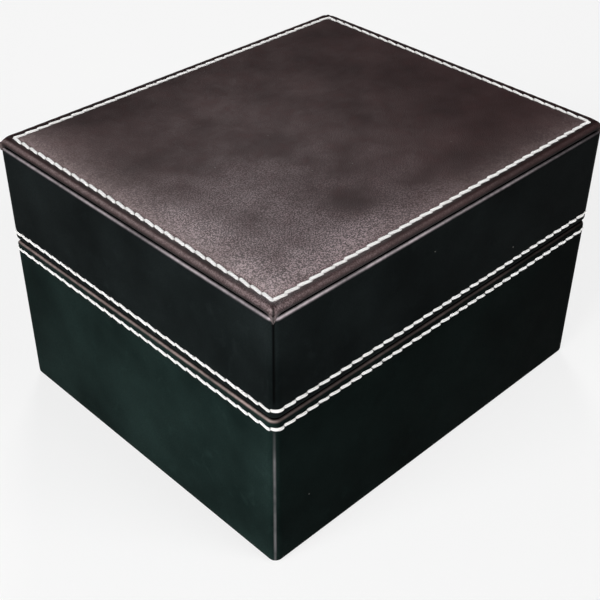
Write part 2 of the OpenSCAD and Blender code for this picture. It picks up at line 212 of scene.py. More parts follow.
class Nodes:
    """A node tree, and the ways that nodes are added to it."""

    def __init__(self, tree):
        self.tree = tree

    def put(self, kind, options=None, **sockets):
        """Adds a node with its options, and sets or links its sockets by name."""
        made = self.tree.nodes.new(kind)
        for name, value in (options or {}).items():
            setattr(made, name, value)
        self.fill(made, **sockets)
        return made

    def join(self, kind, values, **options):
        """Adds a node with its options, and sets or links its sockets in their order."""
        made = self.put(kind, options)
        for socket, value in zip(made.inputs, values):
            self.feed(socket, value)
        return made

    def fill(self, node, **sockets):
        """Sets or links a node's sockets by name."""
        for name, value in sockets.items():
            self.feed(node.inputs[name.replace("_", " ")], value)

    def feed(self, socket, value):
        if isinstance(value, bpy.types.NodeSocket):
            self.tree.links.new(value, socket)
        else:
            socket.default_value = value

    def calc(self, operation, a, b=0.0, c=0.0):
        """The result of a Math node."""
        return self.join("ShaderNodeMath", (a, b, c), operation=operation).outputs[0]

    def times(self, a, b):
        return self.calc("MULTIPLY", a, b)

    def weighed(self, a, a_weight, b, b_weight):
        """Two values added up by their weights."""
        return self.calc("MULTIPLY_ADD", a, a_weight, self.times(b, b_weight))

    def spread(self, value, low, high, to_low=0.0, to_high=1.0):
        """The value carried from one range to another, kept inside it."""
        return self.put(
            "ShaderNodeMapRange", {"clamp": True}, Value=value, From_Min=low, From_Max=high, To_Min=to_low,
            To_Max=to_high,
        ).outputs["Result"]


class Finish(Nodes):
    """A material in the making. Patterns are measured in millimetres, and colours are laid on in layers."""

    def __init__(self, name, **shader):
        self.material = bpy.data.materials.new(name)
        self.material.use_nodes = True
        super().__init__(self.material.node_tree)
        self.shader = self.tree.nodes["Principled BSDF"]
        self.fill(self.shader, **shader)
        self.place = self.stretched(1, 1, 1)
        self.body = None

    def stretched(self, *stretch):
        """Object coordinates in millimetres, stretched to draw a pattern out."""
        coords = self.put("ShaderNodeTexCoord").outputs["Object"]
        scale = tuple(METRE * s for s in stretch)
        return self.join("ShaderNodeVectorMath", (coords, scale), operation="MULTIPLY").outputs[0]

    def cloud(self, size, detail=2.0, roughness=0.5, distortion=0.0, place=None):
        """Soft noise whose features are size millimetres across."""
        return self.put(
            "ShaderNodeTexNoise", Vector=place or self.place, Scale=1.0 / size, Detail=detail,
            Roughness=roughness, Distortion=distortion,
        ).outputs[0]

    def cells(self, size, feature="F1", place=None):
        """How far each place is from the middle of its cell, where a cell is size millimetres across."""
        return self.put(
            "ShaderNodeTexVoronoi", {"feature": feature}, Vector=place or self.place, Scale=1.0 / size,
        ).outputs["Distance"]

    def stripes(self, direction, width):
        """A wave from 0 to 1 along a direction, width millimetres from crest to crest."""
        way = tuple(d * 2 * math.pi / width for d in direction)
        dot = self.join("ShaderNodeVectorMath", (self.place, way), operation="DOT_PRODUCT")
        return self.calc("MULTIPLY_ADD", self.calc("SINE", dot.outputs["Value"]), 0.5, 0.5)

    def specks(self, size, share):
        """1 on a few small specks of dust, 0 elsewhere."""
        grid = self.put("ShaderNodeTexVoronoi", Vector=self.place, Scale=1.0 / size).outputs
        pick = self.put("ShaderNodeSeparateColor", Color=grid["Color"]).outputs[0]
        near = self.calc("LESS_THAN", grid["Distance"], SPECK)
        return self.times(self.calc("LESS_THAN", pick, share), near)

    def painted(self, name):
        """A number that the piece's own mesh carries, such as how strongly it is scuffed and given a
        painted highlight.
        """
        return self.put("ShaderNodeAttribute", {"attribute_name": name}).outputs["Fac"]

    def coat(self, colour, strength, blend="MIX"):
        """Lays a colour over the colour so far."""
        made = self.put("ShaderNodeMix", {"data_type": "RGBA", "blend_type": blend})
        self.feed(made.inputs[0], strength)
        for socket, value in ((made.inputs[6], self.body), (made.inputs[7], colour)):
            self.feed(socket, (*value, 1.0) if isinstance(value, tuple) else value)
        self.body = made.outputs[2]

    def layer(self, colour, value, low, high, to_low=0.0, to_high=1.0):
        """Lays a colour on as strongly as a value that is carried from one range to another."""
        self.coat(colour, self.spread(value, low, high, to_low, to_high))

    def relief(self, height, depth, strength=1.0, under=None):
        """The normal of a relief that is depth millimetres deep."""
        made = self.put("ShaderNodeBump", Height=height, Distance=depth / METRE, Strength=strength)
        if under is not None:
            self.fill(made, Normal=under)
        return made.outputs[0]

    def done(self, **sockets):
        """The material, with its colour and its last sockets."""
        self.fill(self.shader, Base_Color=self.body, **sockets)
        return self.material


def toned(colour, by, lift=0.0):
    """A colour made darker or lighter, and no lighter than white."""
    return tuple(min(1.0, c * by + lift) for c in colour)


# ---------------------------------------------------------------- finishes


def corner_highlight_and_shade(skin):
    """Painted highlight down the base's upright corners toward the foot, and painted shade down the lid's.
    """
    spot = skin.put("ShaderNodeSeparateXYZ", Vector=skin.place).outputs
    x, y = (
        skin.calc("SUBTRACT", skin.calc("ABSOLUTE", spot[axis]), half - CORNER_R)
        for axis, half in (("X", BASE_HIGH.x), ("Y", BASE_HIGH.y))
    )
    middle = skin.spread(skin.calc("ABSOLUTE", skin.calc("SUBTRACT", x, y)), 0.10, 0.62, 1.0, 0.0)
    line = skin.times(middle, skin.spread(skin.calc("MINIMUM", x, y), 0.5, 1.2))
    pale = skin.times(line, skin.spread(spot["Z"], 34.0, 44.0, 0.85, 0.0))
    patchy = skin.spread(skin.cloud(6.0, 3.0), 0.3, 0.6, 0.35, 1.0)
    # painted highlight: a pale, patchy line down the base's upright corners
    skin.coat((0.150, 0.146, 0.150), skin.times(pale, patchy))
    # painted shade: a dark line down the lid's upright corners
    skin.coat((0.0008, 0.0007, 0.0007), skin.times(line, skin.spread(spot["Z"], 49.0, 52.0, 0.0, 0.9)))


def polished_grain_and_sheen(skin, colour, gloss, patches, tops, rough):
    """Makes the padded top smoother where its mesh asks for it, and paints a sheen there: the grain
    darkened and its tops painted pale as glints. Returns the roughness."""
    polish_and_sheen = skin.times(skin.painted("polish_and_sheen"), skin.spread(patches, 0.35, 0.65, 0.76, 1.14))
    glint_share = skin.spread(polish_and_sheen, 0.50, 1.04)
    # painted sheen: the grain darkened, and its tops painted pale as glints
    skin.coat(toned(colour, 0.22), glint_share)
    skin.coat((0.27, 0.19, 0.205), skin.times(tops, glint_share))
    shine = skin.spread(polish_and_sheen, 0.20, 0.95, 0.2 * gloss, gloss)
    skin.fill(skin.shader, Specular_Tint=(1.0, 0.88, 0.90, 1.0), Specular_IOR_Level=shine)
    rough = skin.calc("MULTIPLY_ADD", polish_and_sheen, -0.30, skin.calc("ADD", rough, 0.30))
    contrast = skin.times(skin.calc("SUBTRACT", 0.5, tops), skin.times(glint_share, 0.15))
    return skin.calc("ADD", rough, contrast)


def leatherette(name, colour, rub_highlight_colour, grain, depth, roughness, gloss, dust, creases, polished_with_sheen=False):
    """Coated leather cloth: pebbled grain with shining tops, soft creases, scuffed edges with painted
    highlights, painted shade in crevices, painted light that differs from place to place, and a little
    dust.

    The rub colour is the colour of scuffed places and painted highlights. In millimetres, grain is the
    width of a pebble, depth how deep the grain is pressed, creases how deep the soft creases are, and dust
    the room between specks."""
    skin = Finish(name, Specular_IOR_Level=gloss, IOR=1.5)
    wobble = skin.put("ShaderNodeTexNoise", Vector=skin.place, Scale=1.0 / (grain * 2.2), Detail=1.0)
    bends = (wobble.outputs["Color"], (grain * 0.9,) * 3, skin.place)
    bent = skin.join("ShaderNodeVectorMath", bends, operation="MULTIPLY_ADD").outputs[0]
    valley = skin.spread(skin.cells(grain, "DISTANCE_TO_EDGE", bent), 0.0, 0.22)
    height = skin.weighed(valley, 0.55, skin.cloud(grain * 0.35, 3.0, 0.6), 0.45)
    height = skin.weighed(height, 1.0, skin.cells(grain, "SMOOTH_F1", bent), -0.35)
    folds = skin.relief(skin.cloud(9.0, 3.0, 0.5, 0.4), creases)

    patches = skin.cloud(22.0, 3.0, 0.55)
    streaks = skin.cloud(5.0, 4.0, 0.6, 0.6)
    skin.body = toned(colour, 0.62)
    skin.layer(toned(colour, 1.45, 0.001), patches, 0.3, 0.7)
    skin.layer(toned(colour, 0.45), valley, 0.0, 1.0, 0.30, 0.0)
    skin.layer(toned(colour, 2.2, 0.004), streaks, 0.58, 0.78, 0.0, 0.30)
    rough = skin.spread(streaks, 0.3, 0.7, roughness, roughness + 0.08)
    tops = skin.calc("MULTIPLY_ADD", valley, 0.12, skin.cloud(grain * 0.60, 2.0, 0.5))
    tops = skin.spread(tops, 0.515, 0.66)
    # patches in the scuffing and the painted highlights
    rub_patches = skin.spread(skin.cloud(1.6, 4.0, 0.65), 0.25, 0.62, 0.55, 1.0)
    rub_and_highlight = skin.times(skin.painted("wear_and_highlight"), rub_patches)
    # on the padded top: a painted sheen, with the scuffing and painted highlight kept mostly to the grain's
    # tops
    if polished_with_sheen:
        rough = polished_grain_and_sheen(skin, colour, gloss, patches, tops, rough)
        rub_and_highlight = skin.times(rub_and_highlight, skin.spread(tops, 0.0, 1.0, 0.55, 1.0))
    else:
        rough = skin.calc("MULTIPLY_ADD", tops, -0.10, rough)
    # scuffing and painted highlights, as strong as the mesh carries them
    skin.coat(rub_highlight_colour, rub_and_highlight)
    # painted light: the mesh carries how much lighter or darker each place is shown
    painted_light = skin.painted("painted_light")
    shade = skin.put("ShaderNodeCombineColor", Red=painted_light, Green=painted_light, Blue=painted_light).outputs[0]
    skin.coat(shade, 1.0, "MULTIPLY")
    # painted shade in grooves, under the rolled edge and beside the parting
    skin.coat((0.0006, 0.0005, 0.0005), skin.painted("crevice_shade"))
    # painted highlight and painted shade down the upright corners
    corner_highlight_and_shade(skin)
    skin.coat((0.30, 0.29, 0.28), skin.times(skin.specks(dust, 0.22), 0.45))
    return skin.done(Roughness=rough, Normal=skin.relief(height, depth, 1.0, folds))


def twisted_thread(colour):
    """Waxed white thread: two strands twisted together, dirtied a little at random, with painted shade at
    each stitch's ends.
    """
    cotton = Finish("sewing thread", Specular_IOR_Level=0.35, Sheen_Weight=0.15, Sheen_Roughness=0.5)
    twist = cotton.stripes((1.0, 0.8, 0.9), 0.95)
    fibres = cotton.cloud(0.12, 3.0, 0.6)
    cotton.body = colour
    cotton.layer(toned(colour, 0.62), twist, 0.0, 0.45, 0.30, 0.0)
    cotton.layer((0.66, 0.60, 0.56), cotton.cloud(7.0, 3.0, 0.6), 0.45, 0.75, 0.0, 0.35)
    # painted shade at each stitch's ends, where the thread goes down into its hole
    cotton.coat((0.30, 0.27, 0.26), cotton.times(cotton.painted("stitch_end_shade"), 0.26))
    height = cotton.weighed(twist, 0.8, fibres, 0.3)
    rough = cotton.spread(fibres, 0.3, 0.7, 0.45, 0.65)
    return cotton.done(Roughness=rough, Normal=cotton.relief(height, 0.10, 0.8))


def velvet(name, colour, nap=9.0):
    """Short-pile velvet: brushed patches nap millimetres across, fine tufts and a pale halo."""
    pile = Finish(name, Specular_IOR_Level=0.12, Sheen_Weight=0.55, Sheen_Roughness=0.35, Roughness=0.9)
    pile.fill(pile.shader, Sheen_Tint=(1.0, 0.96, 0.88, 1.0))
    brushed = pile.cloud(nap, 4.0, 0.6, 0.25, pile.stretched(1.0, 0.55, 1.0))
    tufts = pile.cloud(0.30, 2.0, 0.6)
    pile.body = toned(colour, 0.84)
    pile.layer(toned(colour, 1.08), brushed, 0.38, 0.64)
    pile.layer(toned(colour, 0.50), tufts, 0.35, 0.65, 0.38, 0.0)
    pile.coat((0.85, 0.84, 0.82), pile.times(pile.specks(6.0, 0.2), 0.5))
    height = pile.weighed(tufts, 0.7, pile.cells(0.28), -0.5)
    return pile.done(Normal=pile.relief(height, 0.14, 0.8, pile.relief(brushed, 0.35)))


def satin(colour):
    """Satin cloth: long floats one way, soft folds and a silky highlight."""
    silk = Finish(
        "lid satin", Specular_IOR_Level=0.5, Sheen_Weight=0.25, Sheen_Roughness=0.3, Anisotropic=0.4,
    )
    floats, picks = silk.stripes((0.0, 1.0, 0.0), 0.34), silk.stripes((1.0, 0.0, 0.12), 0.85)
    weave = silk.weighed(picks, 0.35, floats, 0.65)
    slubs = silk.cloud(0.9, 3.0, 0.6, place=silk.stretched(0.12, 1.0, 1.0))
    folds = silk.cloud(11.0, 2.0, 0.5, 0.2, silk.stretched(1.0, 0.4, 1.0))
    silk.body = toned(colour, 0.93)
    silk.layer(toned(colour, 1.04), folds, 0.35, 0.65)
    silk.layer(toned(colour, 0.62), weave, 0.0, 0.5, 0.25, 0.0)
    silk.layer(toned(colour, 1.2), slubs, 0.60, 0.80, 0.0, 0.30)
    normal = silk.relief(weave, 0.05, 0.8, silk.relief(folds, 0.25))
    return silk.done(Roughness=silk.spread(slubs, 0.3, 0.7, 0.30, 0.42), Normal=normal)


def felt():
    """Pressed black felt under the base: matted fibres and pills."""
    wool = Finish("base felt", Specular_IOR_Level=0.15, Roughness=0.95, Sheen_Weight=0.3)
    mat = wool.cloud(0.7, 5.0, 0.7, 1.5)
    wool.body = (0.006, 0.006, 0.007)
    wool.layer((0.028, 0.028, 0.030), mat, 0.35, 0.68)
    wool.coat((0.22, 0.22, 0.22), wool.times(wool.specks(4.0, 0.3), 0.6))
    height = wool.weighed(mat, 1.0, wool.cells(2.6, "SMOOTH_F1"), -0.3)
    return wool.done(Normal=wool.relief(height, 0.35, 0.9))


def greyboard():
    """Dense board: layered fibre with flecks."""
    board = Finish("grey board", Specular_IOR_Level=0.25)
    fibres = board.cloud(0.8, 5.0, 0.65, 0.8, board.stretched(0.35, 0.35, 1.6))
    plies = board.stripes((0.15, 0.1, 1.0), 0.6)
    board.body = (0.30, 0.22, 0.13)
    board.layer((0.52, 0.41, 0.27), fibres, 0.3, 0.7)
    board.layer((0.16, 0.12, 0.08), board.cells(1.9), 0.0, 0.10, 0.5, 0.0)
    board.coat((0.24, 0.19, 0.12), board.times(plies, 0.12))
    height = board.weighed(fibres, 0.8, plies, 0.2)
    rough = board.spread(fibres, 0.2, 0.8, 0.72, 0.92)
    return board.done(Roughness=rough, Normal=board.relief(height, 0.12, 0.8))


def metal(name, colour, dull, roughness, scratch_width):
    """Small stamped fittings: drawn metal with fine scratches and a dull film."""
    stock = Finish(name, Metallic=1.0)
    drawn = stock.cloud(scratch_width, 4.0, 0.6, place=stock.stretched(0.08, 1.0, 1.0))
    film = stock.cloud(2.4, 4.0, 0.6, 0.5)
    stock.body = colour
    stock.layer(dull, film, 0.42, 0.72)
    height = stock.weighed(drawn, 0.8, stock.cells(0.5), 0.15)
    rough = stock.spread(film, 0.3, 0.7, roughness - 0.08, roughness + 0.14)
    return stock.done(Roughness=rough, Normal=stock.relief(height, 0.02, 0.7))


def open_foam():
    """Open-cell foam: small bubbles and a yellowed skin."""
    foam = Finish("panel foam", Specular_IOR_Level=0.2, Roughness=0.9)
    bubbles = foam.cells(0.45, "SMOOTH_F1")
    foam.body = (0.74, 0.70, 0.58)
    foam.layer((0.82, 0.74, 0.52), foam.cloud(12.0), 0.3, 0.7)
    foam.layer((0.40, 0.36, 0.26), bubbles, 0.1, 0.5, 0.5, 0.0)
    return foam.done(Normal=foam.relief(bubbles, 0.25, 0.8))


def grosgrain(colour):
    """Ribbed ribbon: fine cross ribs and a darker edge thread."""
    weave = Finish("pull ribbon", Specular_IOR_Level=0.4, Sheen_Weight=0.3, Sheen_Roughness=0.4)
    ribs = weave.stripes((0.0, 0.35, 1.0), 0.62)
    warp = weave.stripes((1.0, 0.0, 0.0), 0.30)
    weave.body = colour
    weave.layer(toned(colour, 0.45), ribs, 0.0, 0.6, 0.6, 0.0)
    weave.layer(toned(colour, 0.5), warp, 0.0, 0.4, 0.2, 0.0)
    weave.layer(toned(colour, 1.6), weave.cloud(4.0, 3.0, 0.6), 0.5, 0.8, 0.0, 0.5)
    height = weave.weighed(ribs, 0.8, warp, 0.2)
    rough = weave.spread(warp, 0.0, 1.0, 0.62, 0.48)
    return weave.done(Roughness=rough, Normal=weave.relief(height, 0.12, 0.9))


# ---------------------------------------------------------------- mesh helpers


def bell(distance, width):
    """1 at no distance, falling away to nothing over a few widths."""
    return math.exp(-((distance / width) ** 2))


class Outline:
    """A rounded rectangle, followed anticlockwise from the front end of its right side."""

    def __init__(self, half_x, half_y, radius):
        self.radius = radius
        self.core = Vector((half_x - radius, half_y - radius))
        self.arc = math.pi / 2 * radius
        self.length = 4 * (self.core.x + self.core.y + self.arc)

    def at(self, s):
        """The core point beside a place along the outline, and the way outward there."""
        s %= self.length
        x, y = self.core
        corners = [Vector(c) for c in ((x, -y), (x, y), (-x, y), (-x, -y))]
        for q in range(4):
            start, end = corners[q], corners[(q + 1) % 4]
            side = (end - start).length
            if s < side:
                angle = q * math.pi / 2
                return start.lerp(end, s / side), Vector((math.cos(angle), math.sin(angle)))
            s -= side
            if s < self.arc or q == 3:
                angle = q * math.pi / 2 + s / self.radius
                return end, Vector((math.cos(angle), math.sin(angle)))
            s -= self.arc

    def point(self, s, inset, z):
        """A place on the outline drawn in by inset, at a height."""
        core, out = self.at(s)
        r = self.radius - inset
        if r < LEAST_R:
            core = Vector([c * (c_all - LEAST_R + r) / c_all for c, c_all in zip(core, self.core)])
            r = LEAST_R
        return Vector((core.x + out.x * r, core.y + out.y * r, z))


def arc_rings(z, r, start, end, steps, wear_and_highlight=0.0, crevice_shade=0.0):
    """Rings round a quarter of an edge, about the height z. Angles are in degrees, 0 outward and 90 up."""
    found = []
    for k in range(steps + 1):
        a = math.radians(start + (end - start) * k / steps)
        # scuffing and a painted highlight along the middle of the edge
        rub_and_highlight = wear_and_highlight * math.sin(2 * abs(a)) ** 8 if wear_and_highlight else 0.0
        # painted shade toward the edge's level end
        dark = min(1.0, 1.4 * crevice_shade * math.sin(abs(a)) ** 6)
        found.append((r * (1 - math.cos(a)), z + r * math.sin(a), rub_and_highlight, dark))
    return found


def extruded(bm, edges):
    """Extrudes a run of edges in place. Returns the new run's points and edges."""
    made = bmesh.ops.extrude_edge_only(bm, edges=edges)["geom"]
    verts = [g for g in made if isinstance(g, bmesh.types.BMVert)]
    fresh = set(verts)
    edges = [
        g for g in made
        if isinstance(g, bmesh.types.BMEdge) and g.verts[0] in fresh and g.verts[1] in fresh
    ]
    return verts, edges


def chain(bm, places):
    """A run of points joined by edges. Returns its points and its edges."""
    verts = [bm.verts.new(place) for place in places]
    return verts, [bm.edges.new(pair) for pair in zip(verts, verts[1:])]


def right_way(place):
    """How far a place is along the front, from 0 at the box's left side to 1 at its right."""
    return (place.x - BASE_LOW.x) / (BASE_HIGH.x - BASE_LOW.x)


def painted_side_light(place, out):
    """Painted light on the leatherette's sides: lightest at the left side's near end, darkest at the
    front's far end.
    """
    left, front = max(0.0, -out.x) ** 1.5, max(0.0, -out.y) ** 1.5
    back_way = (place.y - BASE_LOW.y) / (BASE_HIGH.y - BASE_LOW.y)
    shade = -0.10 + 0.75 * right_way(place) if place.z > PARTING else 0.48 + 0.40 * right_way(place)
    return 1.0 + left * (0.7 - 0.75 * back_way) - front * shade


def edge_rub_and_highlight(place, out):
    """How strong an edge's scuffing and painted highlight are: the lid's stronger on the front, and both
    weaker toward its far end.
    """
    front = max(0.0, -out.y)
    if place.z > PARTING:
        return 0.66 + front * (0.90 - 1.05 * right_way(place))
    return 1.0 - 0.40 * front * right_way(place)


def lofted(outline, rings, count, shape=None, closed=True):
    """A skin stretched over rings of an outline by extruding its first ring again and again.
    A ring has its inset and its height, and may have how strongly it is scuffed and given a painted
    highlight and how dark its painted shade is."""
    bm = bmesh.new()
    order = bm.verts.layers.int.new("order")
    wear_and_highlight, crevice_shade, painted_light = (bm.verts.layers.float.new(name) for name in ("wear_and_highlight", "crevice_shade", "painted_light"))
    bmesh.ops.create_circle(bm, segments=count, radius=1)
    bm.verts.ensure_lookup_table()
    for k, v in enumerate(bm.verts):
        v[order] = k
    verts, edges = list(bm.verts), list(bm.edges)
    first = edges
    for number, ring in enumerate(rings):
        ring_inset, ring_z, rub_and_highlight, dark = (*ring, 0.0, 0.0)[:4]
        if number:
            verts, edges = extruded(bm, edges)
        for v in verts:
            s = v[order] * outline.length / count
            inset, z = shape(s, ring_inset, ring_z) if shape else (ring_inset, ring_z)
            v.co = outline.point(s, inset, z)
            out = outline.at(s)[1]
            patch = 0.75 + 0.6 * noise.noise(Vector((s / 11.0, 2.0, z / 40.0)))
            # scuffing and painted highlight, patchy along the edge
            v[wear_and_highlight] = rub_and_highlight * patch * edge_rub_and_highlight(v.co, out)
            # painted shade
            v[crevice_shade] = dark
            # painted light, by side
            v[painted_light] = painted_side_light(v.co, out)
    if closed:
        for loop in (first, edges):
            bmesh.ops.contextual_create(bm, geom=loop)
    else:
        bmesh.ops.bridge_loops(bm, edges=first + edges)
    return bm


def object_from(bm, name):
    """A new object from a shape in millimetres."""
    bm.transform(Matrix.Scale(1 / METRE, 4))
    mesh = bpy.data.meshes.new(name)
    bm.to_mesh(mesh)
    bm.free()
    made = bpy.data.objects.new(name, mesh)
    bpy.context.scene.collection.objects.link(made)
    return made


def piece(bm, name, material, body, replaces, sharp=38.0):
    """Scales a shape to metres and makes it a piece that rides on a body and stands for CAD nodes.
    Edges sharper than sharp degrees stay crisp."""
    bmesh.ops.recalc_face_normals(bm, faces=bm.faces)
    for face in bm.faces:
        face.smooth = True
    for edge in bm.edges:
        edge.smooth = not (edge.is_manifold and edge.calc_face_angle(0) > math.radians(sharp))
    made = object_from(bm, name)
    made.data.materials.append(material)
    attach(made, body)
    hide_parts(*replaces)
    return made


def cut_away(target, bm):
    """Takes a shape in millimetres out of a piece."""
    cutter = object_from(bm, "cutter")
    modifier = target.modifiers.new("cut", "BOOLEAN")
    modifier.operation = "DIFFERENCE"
    modifier.solver = "EXACT"
    modifier.object = cutter
    settle(target)
    mesh = cutter.data
    bpy.data.objects.remove(cutter)
    bpy.data.meshes.remove(mesh)


def settle(target):
    """Applies a piece's modifiers to its mesh."""
    graph = bpy.context.evaluated_depsgraph_get()
    graph.update()
    mesh = bpy.data.meshes.new_from_object(target.evaluated_get(graph))
    old = target.data
    target.modifiers.clear()
    target.data = mesh
    bpy.data.meshes.remove(old)
    mesh.name = target.name


def dress(material, *nodes):
    """Gives CAD nodes a finish."""
    for name in nodes:
        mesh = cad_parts[name].data
        mesh.materials.clear()
        mesh.materials.append(material)


def bevelled_block(low, high, radius, segments=4):
    """A block between two corners with rounded edges."""
    size = high - low
    bm = bmesh.new()
    bmesh.ops.create_cube(
        bm, size=1, matrix=Matrix.Translation((low + high) / 2) @ Matrix.Diagonal((*size, 1)),
    )
    bmesh.ops.bevel(
        bm, geom=bm.edges[:], offset=radius, offset_type="OFFSET", affect="EDGES",
        segments=segments, profile=0.5, material=-1, clamp_overlap=True,
    )
    return bm


# ---------------------------------------------------------------- shells


def rim_outline():
    return Outline(BASE_HIGH.x, BASE_HIGH.y, CORNER_R)


def row_count(thread):
    """How many stitches go round the box."""
    return round(rim_outline().length / (thread.pitch * METRE))


def row_heights(row):
    """Heights of the close rings beside a row of thread."""
    return [row + d for d in (-1.5, -1.0, -0.7, -0.45, -0.2, 0.0, 0.2, 0.45, 0.7, 1.0, 1.5)]


def inner_rim(room, z, up):
    """Rings from a rim into its inner wall, room inside the outline. up is -1 if the rim faces down."""
    turn = ((0.6, 0.0), (0.3, 0.08), (0.05, 0.35), (0.0, 0.8))
    return [(room - inset, z - drop * up) for inset, drop in turn]


def shell_shape(row, shell, thread, side):
    """Draws the leatherette in under the thread, and cuts the back's edge down to the hinge groove.
    side is 1 for the lid and -1 for the base."""
    outline = rim_outline()
    pitch = outline.length / row_count(thread)
    depth = shell.dimple * METRE
    slope = math.tan(math.radians(GROOVE_SLOPE))

    def shape(s, inset, z):
        if inset < 0.05:
            near = bell(z - row, 0.62)
            hole = 0.62 + 0.38 * math.cos(2 * math.pi * s / pitch)
            wave = 0.05 * noise.noise(Vector((s / 17.0, z / 14.0, side * 9.0)))
            inset += depth * near * hole + max(0.0, wave)
        place = outline.point(s, inset, z)
        if place.y > HINGE_Y:
            limit = (place.y - HINGE_Y) * slope
            z = max(z, PARTING + limit) if side > 0 else min(z, PARTING - limit)
        return inset, z

    return shape


def notch_cutter():
    """Round bars that make room for the hinge barrels."""
    bm = bmesh.new()
    for x in (-HINGE_X, HINGE_X):
        place = Matrix.Translation((x, HINGE_Y, PARTING)) @ Matrix.Rotation(math.pi / 2, 4, "Y")
        bmesh.ops.create_cone(
            bm, cap_ends=True, cap_tris=False, segments=40, radius1=NOTCH_R, radius2=NOTCH_R,
            depth=NOTCH_LENGTH, matrix=place,
        )
    return bm


class DISPLAYBOX_OT_shells(Operator):
    """Covers the base and the lid with stitched leatherette"""

    bl_idname = "display_box.shells"
    bl_label = "Leatherette shells"

    def execute(self, context):
        shell, thread = context.scene.box_shell, context.scene.box_thread
        room = BASE_HIGH.x - sizes("lining_right")[1].x
        base = [(4.0, BASE_LOW.z)]
        # scuffing and a painted highlight on the foot's edge
        base += arc_rings(BASE_LOW.z + RIM_R, RIM_R, -90, 0, 5, 0.5)
        base += [(0, z) for z in (3, 6, 12, 20, 28, 35, 39)]
        base += [(0, z) for z in row_heights(BASE_ROW)[:-1]]
        # the base's upper rim: a painted highlight with scuffing, and painted shade on its top under the
        # lid
        base += arc_rings(BASE_HIGH.z - RIM_R, RIM_R, 0, 90, 12, 1.0, 0.9)
        base += [(2.4, BASE_HIGH.z, 0, 0.3), (4.2, BASE_HIGH.z)]
        base += inner_rim(room, BASE_HIGH.z, 1)
        base += [(room, z) for z in (30, 12, 5)]
        # a pinkish painted highlight, with scuffing, on the base's upper rim
        base_skin = leatherette(
            "base leatherette", tuple(shell.base_colour), rub_highlight_colour=(0.36, 0.27, 0.255), grain=0.70, depth=0.012,
            roughness=0.50, gloss=0.004, dust=8.0, creases=0.05,
        )

        room = LID_HIGH.x - sizes("lid_lining_right")[1].x
        ceiling = sizes("lid_lining_pad")[1].z
        # the lid's upper edge: a painted highlight with scuffing, and painted shade under the padded top's
        # rolled edge
        lid = [(inset, LID_HIGH.z, 0, 1) for inset in (9.0, 2.6, 1.6)]
        lid += arc_rings(LID_HIGH.z - RIM_R, RIM_R, 90, 0, 12, 1.1, 1.0)
        lid += [(0, z) for z in (71.5, 70, 66, 61, 56, 52.5)]
        lid += [(0, z) for z in reversed(row_heights(LID_ROW)[1:])]
        # painted shade on the underside of the lid's lower rim, at the parting
        lid += arc_rings(LID_LOW.z + RIM_R, RIM_R, 0, -90, 6, 0.0, 0.9)
        lid += [(2.4, LID_LOW.z)]
        lid += inner_rim(room, LID_LOW.z, -1)
        lid += [(room, z) for z in (58, ceiling - 0.1)]
        # a pale grey painted highlight, with scuffing, on the lid's upper edge
        lid_skin = leatherette(
            "lid leatherette", tuple(shell.lid_colour), rub_highlight_colour=(0.62, 0.54, 0.57), grain=0.70, depth=0.012,
            roughness=0.48, gloss=0.005, dust=8.0, creases=0.05,
        )

        for body, rings, row, side, skin in (
            ("base", base, BASE_ROW, -1, base_skin), ("lid", lid, LID_ROW, 1, lid_skin),
        ):
            bm = lofted(rim_outline(), rings, 6 * row_count(thread), shell_shape(row, shell, thread, side))
            made = piece(bm, f"{body}_leatherette", skin, body, (f"{body}_wrap",))
            cut_away(made, notch_cutter())
        return {"FINISHED"}


# ---------------------------------------------------------------- top panel


def top_pitches(thread):
    """Stitch lengths along x and along y that fill the sides of the top row."""
    found = []
    for half in (TOP_X, TOP_Y):
        length = 2 * (half - SEAM_IN)
        found.append(length / round(length / (thread.pitch * METRE)))
    return found


def panel_surface(x, y, panel, thread):
    """The place of a point of the padded top, from its flat place."""
    pitch_x, pitch_y = top_pitches(thread)
    dx, dy = TOP_X - abs(x), TOP_Y - abs(y)
    d = 0.5 * (dx + dy - math.hypot(dx - dy, 0.55))
    rolled = COVER_LOW.z + 2 * ROLL_R
    z = rolled
    if d < ROLL_R:
        z = COVER_LOW.z + ROLL_R * (1 + math.sqrt(max(0.0, 1 - ((ROLL_R - max(d, 0.0)) / ROLL_R) ** 2)))
    from_seam = abs(d - SEAM_IN)
    z -= panel.channel * METRE * bell(from_seam, 0.60)
    if d > SEAM_IN:
        rise = COVER_HIGH.z - rolled - 0.04
        z += rise * (1 - math.exp(-(d - SEAM_IN) / 9.0))
        wave = noise.noise(Vector((x / 19.0, y / 19.0, 3.7)))
        z += panel.swell * METRE * wave * min(1.0, (d - SEAM_IN) / 6.0)
    along, pitch, half = (y, pitch_y, TOP_Y) if dx < dy else (x, pitch_x, TOP_X)
    phase = math.cos(2 * math.pi * (along + half - SEAM_IN) / pitch)
    z -= panel.pucker * METRE * (0.5 + 0.5 * phase) * bell(from_seam, 0.95)
    z -= 0.05 * phase * bell(d - 1.2, 0.7)
    corner = math.hypot(dx, dy)
    z -= 0.42 * bell(corner, 1.5)
    gathers = 0.10 * math.sin(math.atan2(dy, dx) * 9.0) * bell(corner - 2.4, 1.5)
    z += gathers * (1 if d < SEAM_IN else 0.3)
    return Vector((x, y, z))


def panel_polish_and_sheen(left, front):
    """How smooth the padded top is and how strong its painted sheen, at distances from its left and front
    edges: most near their corner, with a brighter run beside the seams and a duller patch near the front
    seam."""
    shine = 1.04 * math.exp(-math.hypot(left, front) / 92.0)
    seam_side = bell(min(left, front) - 7.0, 6.5)
    shine *= 1 + seam_side * (0.08 + 0.30 * bell(max(left, front) - 38.0, 18.0))
    return shine * (1 - 0.17 * bell(left - 18.0, 11.0) * bell(front - 9.0, 6.5))


